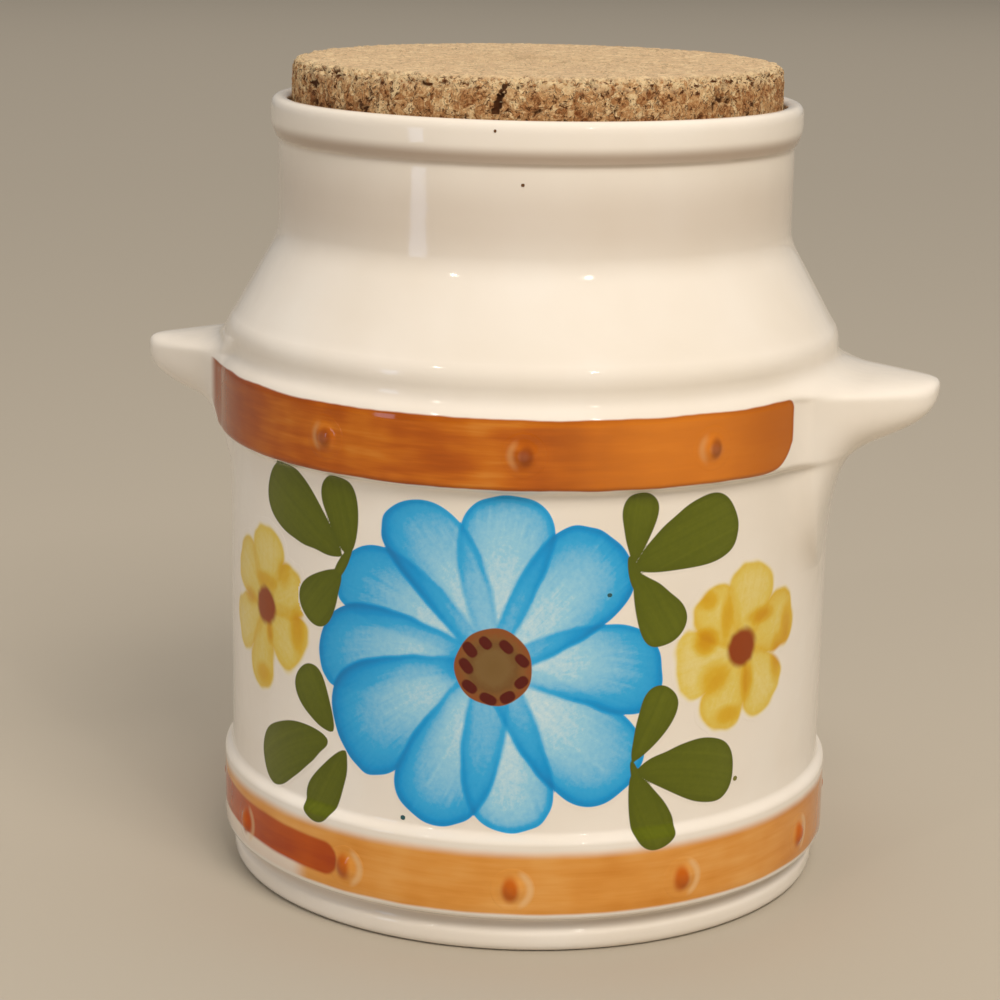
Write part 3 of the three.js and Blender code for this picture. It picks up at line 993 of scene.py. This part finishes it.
def strap_paint(tree, mm):
    """The glaze with its painted straps: brushed orange oxide above, thin amber below with a burnt stroke."""
    x, y, z = add(tree, SPLIT, (mm,)).node.outputs
    turn = add(tree, MATH, (x, add(tree, MATH, (y, -1.0), operation="MULTIPLY")), operation="ARCTAN2")
    out = add(tree, VECTOR, (add(tree, JOIN, (x, y)),), **LENGTH)
    waver = add(tree, NOISE, {"Vector": mm, "Scale": 1 / STRAP_WAVER, "Detail": 2.0})
    wobble = add(tree, RANGE, (waver, 0.0, 1.0, -0.45, 0.45))

    # Long streaks and fine hairs of the brush, and broad patches where it was fuller
    streak_way = add(tree, "ShaderNodeMapping", {"Vector": mm, "Scale": [1 / s for s in STRAP_STREAK]})
    streak = add(tree, NOISE, {"Vector": streak_way, "Scale": 1.0, "Detail": 3.0, "Roughness": 0.55})
    hair_way = add(tree, "ShaderNodeMapping", {"Vector": mm, "Scale": [1 / s for s in STRAP_HAIR]})
    hair = add(tree, NOISE, {"Vector": hair_way, "Scale": 1.0, "Detail": 3.0})
    patch = add(tree, NOISE, {"Vector": mm, "Scale": 1 / STRAP_PATCH, "Detail": 2.0})
    brushed = add(tree, MIX, {0: 0.15, 2: streak, 3: hair})
    brushed = add(tree, MIX, {0: 0.5, 2: brushed, 3: patch})

    # Upper strap: a long round-cornered field on the front and its like on the back
    offset = add(tree, MATH, (turn, math.radians(UP_STRAP_MIDDLE)), operation="SUBTRACT")
    wrapped = add(tree, MATH, (offset, math.pi / 2, -math.pi / 2), operation="WRAP")
    apart = add(tree, MATH, (wrapped,), operation="ABSOLUTE")
    half_length = math.radians(UP_STRAP_HALF_TURN) * UP_BAND_R
    end = add(tree, MATH, (apart, -UP_BAND_R, half_length), operation="MULTIPLY_ADD")
    ending = add(tree, RANGE, (end, 0.0, UP_STRAP_ENDING, 1.0, 0.0), **EASED)
    rise = add(tree, MATH, (ending, -UP_STRAP_LIFT, z), operation="MULTIPLY_ADD")
    rise = add(tree, MATH, (rise, UP_STRAP_Z), operation="SUBTRACT")
    half = add(tree, MATH, (ending, -UP_STRAP_THINNER, UP_STRAP_HALF), operation="MULTIPLY_ADD")
    corner = add(tree, RANGE, (rise, -3.0, 3.0, UP_STRAP_LOW_CORNER, UP_STRAP_HIGH_CORNER))
    inside = add(tree, MATH, (stroke_field(tree, end, rise, half, corner), wobble), operation="ADD")
    cover = add(tree, RANGE, (inside, -0.05, 0.4), **EASED)
    off_lug = add(tree, RANGE, (out, *STRAP_ON_LUG_R, 1.0, 0.0), **EASED)
    cover = add(tree, MATH, (cover, off_lug), operation="MULTIPLY")
    orange = add(tree, RAMP, (brushed,), stops=ORANGES)
    orange = tinted(tree, orange, wrapped, UP_STRAP_TINTS)
    pooled = add(tree, RANGE, (inside, 0.2, 1.3, 0.4, 0.0), **EASED)
    orange = add(tree, MIX, {0: pooled, 6: orange, 7: srgb("#8E3F08")}, **COLOUR)
    colour = add(tree, MIX, {0: cover, 6: glaze_colour(tree, mm), 7: orange}, **COLOUR)

    # Burnt stroke: its line falls a little towards its end
    low_z = add(tree, MATH, (wobble, 0.6, z), operation="MULTIPLY_ADD")
    offset = add(tree, MATH, (turn, math.radians(BURNT_MIDDLE)), operation="SUBTRACT")
    apart = add(tree, MATH, (offset,), operation="ABSOLUTE")
    half_length = math.radians(BURNT_HALF_TURN) * LOW_BAND_R
    end = add(tree, MATH, (apart, -LOW_BAND_R, half_length), operation="MULTIPLY_ADD")
    line = add(tree, RANGE, (offset, 0.0, math.radians(BURNT_HALF_TURN), *BURNT_LINE_Z))
    rise = add(tree, MATH, (low_z, line), operation="SUBTRACT")
    burnt_edge = stroke_field(tree, end, rise, BURNT_HALF, BURNT_HALF)
    burnt_cover = add(tree, RANGE, (burnt_edge, -0.5, 0.5), **EASED)

    # Lower strap: a thin wash all round, left bare under the burnt stroke
    wash = add(tree, RANGE, (low_z, *LOW_STRAP_FOOT_Z), **EASED)
    fade = add(tree, RANGE, (low_z, *LOW_STRAP_HEAD_Z, 1.0, 0.0), **EASED)
    beneath = add(tree, RANGE, (low_z, 12.6, 14.0, 1.0, 0.0), **EASED)
    beside = add(tree, RANGE, (end, 8.0, 14.0), **EASED)
    bare = add(tree, MATH, (beneath, beside), operation="MULTIPLY")
    bare = add(tree, MATH, (bare, -0.85, 1.0), operation="MULTIPLY_ADD")
    for share in (fade, bare):
        wash = add(tree, MATH, (wash, share), operation="MULTIPLY")
    amber = tinted(tree, add(tree, RAMP, (brushed,), stops=AMBERS), turn, LOW_STRAP_TINTS)
    colour = add(tree, MIX, {0: wash, 6: colour, 7: amber}, **COLOUR)
    burnt = add(tree, RAMP, (brushed,), stops=BURNTS)
    return add(tree, MIX, {0: burnt_cover, 6: colour, 7: burnt}, **COLOUR)


def stoneware_material():
    """Glazed stoneware: a warm white clay body dipped in clear glaze, with oxide brushed on its straps."""
    material, tree, mm = new_material("glazed_stoneware")
    glazed(tree, strap_paint(tree, mm), mm)
    return material


def rivet_material(name, pool, pool_place, pool_size, pooling, skip, skip_out, skip_side):
    """The straps' glaze with the brush's marks on each rivet: a dark pool and a pale crescent it skipped."""
    material, tree, mm = new_material(name)
    colour = strap_paint(tree, mm)
    place = add(tree, "ShaderNodeAttribute", out=1, attribute_name="rivet_place")
    ring = add(tree, MATH, (add(tree, VECTOR, (place,), **LENGTH), skip_out), operation="SUBTRACT")
    ring = add(tree, RANGE, (add(tree, MATH, (ring,), operation="ABSOLUTE"), 0.0, 1.3, 0.5, 0.0), **EASED)
    sided = add(tree, MATH, (add(tree, SPLIT, (place,)), skip_side), operation="MULTIPLY")
    crescent = add(tree, MATH, (ring, add(tree, RANGE, (sided, 0.6, 2.6), **EASED)), operation="MULTIPLY")
    colour = add(tree, MIX, {0: crescent, 6: colour, 7: srgb(skip)}, **COLOUR)
    away = add(tree, VECTOR, (place, (pool_place, 0, 0)), operation="SUBTRACT")
    away = add(tree, VECTOR, (away, (*pool_size, 1)), operation="DIVIDE")
    away = add(tree, VECTOR, (away,), **LENGTH)
    pooled = add(tree, RANGE, (away, 0.45, 1.15, pooling, 0.0), **EASED)
    colour = add(tree, MIX, {0: pooled, 6: colour, 7: srgb(pool)}, **COLOUR)
    glazed(tree, colour, mm)
    return material


def brush_material(name, layers):
    """Oxides brushed on under the glaze, layer over layer, each pale where thin and deep where it pools."""
    material, tree, mm = new_material(name)
    mottle = add(tree, NOISE, {"Vector": mm, "Scale": 1 / BRUSH_MOTTLE, "Detail": 5.0, "Roughness": 0.65})
    mottle = add(tree, MATH, (mottle, 0.5), operation="SUBTRACT")
    colour = strap_paint(tree, mm)
    for key, softness, stops in layers:
        depth = add(tree, "ShaderNodeAttribute", out=2, attribute_name=key + "_depth")
        shade = add(tree, MATH, (mottle, 0.3, depth), operation="MULTIPLY_ADD")
        shade = add(tree, MATH, (shade, PAINT_SHARE), operation="MULTIPLY")
        paint = add(tree, RAMP, (shade,), stops=stops)
        edge = add(tree, "ShaderNodeAttribute", out=2, attribute_name=key + "_edge")
        cover = add(tree, RANGE, (edge, -softness, softness), **EASED)
        colour = add(tree, MIX, {0: cover, 6: colour, 7: paint}, **COLOUR)
    glazed(tree, colour, mm)
    return material


def cork_material():
    """Agglomerated cork: pressed granules in tans and browns, matt, dark in its seams, painted shade in its
    pits and crack, and pale along its crumbled top edge: newly broken cork, with a painted highlight there."""
    material, tree, mm = new_material("agglomerated_cork")
    place = add(tree, "ShaderNodeAttribute", out=1, attribute_name="granule_place")
    edge = add(tree, "ShaderNodeAttribute", out=2, attribute_name="cork_edge")
    depth = add(tree, "ShaderNodeAttribute", out=2, attribute_name="cork_depth")

    # Each granule and each bit in it has its own tone, under a fine grain
    cell = add(tree, CELLS, {"Vector": place, "Scale": 1 / CORK_GRANULE}, out=1)
    bit = add(tree, CELLS, {"Vector": place, "Scale": 1 / CORK_BIT}, out=1)
    tone = add(tree, MIX, {0: 0.5, 2: add(tree, SPLIT, (cell,), out=1), 3: add(tree, SPLIT, (bit,), out=2)})
    grain = add(tree, NOISE, {"Vector": mm, "Scale": 1 / CORK_FINE, "Detail": 6.0, "Roughness": 0.75})
    tone = add(tree, MIX, {0: 0.64, 2: tone, 3: grain})
    colour = add(tree, RAMP, (tone,), stops=CORKS)

    seam = add(tree, CELLS, {"Vector": place, "Scale": 1 / CORK_GRANULE}, feature="DISTANCE_TO_EDGE")
    crumbs_and_highlight = add(tree, NOISE, {"Vector": mm, "Scale": 1 / CORK_CRUMB, "Detail": 4.0, "Roughness": 0.7})
    fleck = add(tree, NOISE, {"Vector": place, "Scale": 1 / CORK_FLECK, "Detail": 5.0, "Roughness": 0.7})
    vein = add(tree, NOISE, {"Vector": place, "Scale": 1 / CORK_STRETCH, "Detail": 4.0, "Roughness": 0.6})
    vein = add(tree, MATH, (vein, 0.5), operation="SUBTRACT")
    vein = add(tree, MATH, (vein,), operation="ABSOLUTE")
    height = add(tree, SPLIT, (mm,), out=2)
    top = add(tree, RANGE, (height, CORK_TOP_Z - 1.6, CORK_TOP_Z - 0.4, 0.0, 0.65), **EASED)
    side = add(tree, MATH, (1.0, top), operation="SUBTRACT")
    parted = add(tree, RANGE, (grain, 0.4, 0.6), **EASED)
    bark = add(tree, RANGE, (grain, 0.44, 0.56), **EASED)
    bark = add(tree, MATH, (bark, side), operation="MULTIPLY")

    # Seams, the sanded top, the crumbled edge with a painted highlight, painted shade in pits and crack,
    # then flecks and veins of bark on the side: each where its measure runs from low to high, and only as far
    # as another share lets it
    for measure, low, high, start, end, only, tint in (
            (seam, 0.0, 0.06, 1.0, 0.0, parted, "#5E3A1E"),
            (height, CORK_TOP_Z - 1.6, CORK_TOP_Z - 0.4, 0.0, 0.65, 1.0, "#F2D9B2"),
            # pale crumbs of newly broken cork along the top edge, with a painted highlight there
            (crumbs_and_highlight, 0.42, 0.52, 0.0, 0.95, edge, "#FBE2B4"),
            # painted shade in the pits and the crack, darker where they are deeper
            (depth, 0.25, 0.8, 0.0, 1.0, 1.0, "#5A3820"),
            (fleck, 0.55, 0.61, 0.0, 1.0, side, "#5A341A"),
            (vein, 0.004, 0.016, 1.0, 0.0, bark, "#54301A")):
        share = add(tree, RANGE, (measure, low, high, start, end), **EASED)
        share = add(tree, MATH, (share, only), operation="MULTIPLY")
        colour = add(tree, MIX, {0: share, 6: colour, 7: srgb(tint)}, **COLOUR)
    bump = add(tree, "ShaderNodeBump", {"Strength": 0.9, "Distance": 0.6 * MM, "Height": grain})
    skin = add(tree, SKIN, {"Base Color": colour, "Roughness": 0.9, "IOR": 1.4, "Normal": bump})
    add(tree, "ShaderNodeOutputMaterial", {"Surface": skin})
    return material


# Colours of the brushwork, from thin paint to thick, then of straps and cork, from their patterns' lows up
BLUES = [(0.0, "#EAF4F4"), (0.12, "#9AD4EE"), (0.3, "#34AEE8"), (0.5, "#089CE0"), (0.75, "#008CD2"),
         (1.0, "#0080C4")]
GREENS = [(0.0, "#6E7612"), (0.25, "#5A6206"), (0.6, "#485004")]
YELLOWS = [(0.0, "#EEE0A0"), (0.16, "#E6CC62"), (0.34, "#E0B630"), (0.6, "#D8A010"), (0.9, "#CE8E04")]
EYES = [(0.0, "#7A5C30"), (0.2, "#7E6034"), (0.3, "#765228"), (0.38, "#86592A"), (0.46, "#8E5024")]
EYE_DOTS = [(0.0, "#580F02"), (1.0, "#580F02")]
BROWN_EYES = [(0.0, "#963E00"), (1.0, "#963E00")]
SPECK_TONES = [(0.0, "#6B4A30"), (0.25, "#2C5A62"), (0.5, "#7E7A34")]
ORANGES = [(0.35, "#A24800"), (0.47, "#B85A04"), (0.56, "#CA6E10"), (0.68, "#DA8A30")]
AMBERS = [(0.3, "#D4862A"), (0.48, "#E29A44"), (0.62, "#E9A858"), (0.78, "#F0BA78")]
BURNTS = [(0.35, "#A83A00"), (0.65, "#C45400")]
CORKS = [(0.31, "#7C4522"), (0.4, "#B27C4C"), (0.52, "#D2A470"), (0.64, "#F4D8A8")]

# Tints along the straps: the angles they run between in degrees, their share at each, and colour. The upper
# strap's angles are from its own middle
UP_STRAP_TINTS = [(-62, -22, 0.85, 0.0, "#97421A"), (10, 40, 0.0, 0.75, "#E08424"),
                  (46, 64, 0.0, 0.6, "#AC5600")]
LOW_STRAP_TINTS = [(48, 82, 0.0, 0.8, "#C07010")]

# Painted shade, browner glaze, by height, reach and share: in the groove, under the lip and across the neck
PAINTED_SHADE_BANDS = [(GROOVE_LOW_Z + 0.5, 1.8, 0.35), (LIP_UNDER_Z + 0.4, 2.8, 0.75), (151.5, 13, 0.3)]

# Jar with its rivets and brushwork
jar = new_piece("stoneware_jar", jar_mesh(), stoneware_material())
rivet_row = rivet_tree()
upper_glaze = rivet_material(
    "rivet_glaze_orange", pool="#8A3C08", pool_place=0.5, pool_size=(1.7, 2.5), pooling=0.7,
    skip="#DCA468", skip_out=2.7, skip_side=-1.0)
lower_glaze = rivet_material(
    "rivet_glaze_amber", pool="#C45E00", pool_place=-0.5, pool_size=(2.1, 3.3), pooling=0.95,
    skip="#EFCB98", skip_out=3.7, skip_side=1.0)
both_sides = [a + side for side in (0, 180) for a in UP_RIVETS]
upper_rivets = rivets("upper_rivets", both_sides, UP_BAND_R, UP_RIVET_Z, rivet_row, upper_glaze)
lower_rivets = rivets("lower_rivets", low_rivet_angles(), LOW_BAND_R, LOW_RIVET_Z, rivet_row, lower_glaze)
bouquet_brushwork = brush_material("blue_and_green_brushwork", [
    ("blue", 0.13, BLUES), ("leaf", 0.13, GREENS), ("eye", 0.15, EYES), ("dot", 0.16, EYE_DOTS)])
bouquet = painted_sheet("blue_flower_and_leaves", [BOUQUET_BOX], 0.36, bouquet_paint, bouquet_brushwork,
                        margin=0.2)
yellow_brushwork = brush_material("yellow_brushwork", [("petal", 0.7, YELLOWS), ("dot", 0.9, BROWN_EYES)])
yellow_flowers = []
for name, box, margin, drawing in (
        ("yellow_flower_right", RIGHT_YELLOW_BOX, 0.9, (RIGHT_YELLOW, RIGHT_PETALS, RIGHT_DABS)),
        ("yellow_flower_left", LEFT_YELLOW_BOX, 1.1, (LEFT_YELLOW, LEFT_PETALS, LEFT_DABS))):
    yellow_flowers.append(painted_sheet(name, [box], 0.4, lambda a, z: yellow_paint(a, z, *drawing),
                                        yellow_brushwork, margin, lift=0.6 * PAINT_LIFT))
speck_boxes = [(a - 1, a + 1, z - 1, z + 1) for (a, z), wide, tall, tone in SPECKS]
speck_glaze = brush_material("iron_specks", [("speck", 0.01, SPECK_TONES)])
specks = painted_sheet("specks", speck_boxes, 0.1, speck_paint, speck_glaze, margin=-0.16,
                       lift=1.6 * PAINT_LIFT)

# Stopper
cork = grown("cork", cork_mesh(), cork_tree(), {
    "Granule": CORK_GRANULE, "Seam depth": 0.3, "Pit depth": 0.9, "Crumb depth": 1.3, "Crack depth": 1.6,
    "Top height": CORK_TOP_Z, "Radius": CORK_R, "Seed": 5.0, "Cork": cork_material()})

for piece in (jar, upper_rivets, lower_rivets, bouquet, *yellow_flowers, specks):
    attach(piece, "root")
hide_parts("jar")
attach(cork, "root")
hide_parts("cork_stopper")

# Plain pale floor, in metres
FLOOR_HALF = 9
floor_material, floor_tree, _ = new_material("pale_floor")
floor_skin = add(floor_tree, SKIN, {"Base Color": srgb("#BCB3A4"), "Roughness": 0.75})
add(floor_tree, "ShaderNodeOutputMaterial", {"Surface": floor_skin})
floor_corners = [(x * FLOOR_HALF, y * FLOOR_HALF, 0) for x, y in ((-1, -1), (1, -1), (1, 1), (-1, 1))]
floor_mesh = bpy.data.meshes.new("floor")
floor_mesh.from_pydata(floor_corners, [], [(0, 1, 2, 3)])
floor = new_piece("floor", floor_mesh, floor_material)

# Soft studio light: a target at the jar's middle, in metres, and the room's even light
LIGHT_TARGET = Vector((0, 0, 0.09))
ROOM_LIGHT = 0.32


def panel_light(name, azimuth, elevation, distance, width, height, power, colour, mirrored=True):
    """A soft rectangular light, placed by its bearing from the front towards +X and its height in degrees."""
    a, e = math.radians(azimuth), math.radians(elevation)
    place = Vector((math.sin(a) * math.cos(e), -math.cos(a) * math.cos(e), math.sin(e))) * distance
    data = bpy.data.lights.new(name, "AREA")
    data.shape = "RECTANGLE"
    data.size = width
    data.size_y = height
    data.energy = power
    data.color = srgb(colour)[:3]
    light = bpy.data.objects.new(name, data)
    light.location = LIGHT_TARGET + place
    light.rotation_euler = (-place).to_track_quat("-Z", "Y").to_euler()
    light.visible_glossy = mirrored
    bpy.context.scene.collection.objects.link(light)
    return light


panel_light("key", 25, 49, 1.5, 0.7, 0.6, 13.6, "#FFF5E8", mirrored=False)
panel_light("fill", -32, 18, 1.6, 1.0, 0.6, 1.7, "#FFF6EA", mirrored=False)
panel_light("top", 180, 66, 3.6, 7, 6, 88, "#FFF7EE", mirrored=False)
panel_light("window", -49, 4, 0.5, 0.06, 0.15, 0.1, "#C4DAFF")
panel_light("lamp_right", 25, 38, 1.4, 0.05, 0.12, 1.0, "#FFF8EE")
panel_light("lamp_left", -38, 38, 1.4, 0.05, 0.1, 0.7, "#FFF8EE")
world = bpy.data.worlds.new("soft_room")
world.use_nodes = True
world.node_tree.nodes["Background"].inputs["Color"].default_value = srgb("#F3EEE6")
world.node_tree.nodes["Background"].inputs["Strength"].default_value = ROOM_LIGHT
bpy.context.scene.world = world

# Camera at the photograph's place, found by fitting the jar's rings
CAMERA_PLACE = (0, -0.57231, 0.21971)
CAMERA_DOWN = 13.62
CAMERA_RIGHT = -0.66
CAMERA_ROLL = 1.03
CAMERA_LENS = 93.6

down, right, roll = (math.radians(v) for v in (CAMERA_DOWN, CAMERA_RIGHT, CAMERA_ROLL))
ahead = Vector((math.sin(right) * math.cos(down), math.cos(right) * math.cos(down), -math.sin(down)))
level_right = Vector((math.cos(right), -math.sin(right), 0))
level_up = level_right.cross(ahead)
side_way = math.cos(roll) * level_right + math.sin(roll) * level_up
up_way = -math.sin(roll) * level_right + math.cos(roll) * level_up
camera_data = bpy.data.cameras.new("camera")
camera_data.lens = CAMERA_LENS
camera_data.sensor_width = 36
camera_data.clip_start = 0.01
camera = bpy.data.objects.new("camera", camera_data)
turned = Matrix((side_way, up_way, -ahead)).transposed().to_4x4()
camera.matrix_world = Matrix.Translation(CAMERA_PLACE) @ turned
bpy.context.scene.collection.objects.link(camera)
bpy.context.scene.camera = camera
bpy.context.scene.view_settings.view_transform = "Standard"
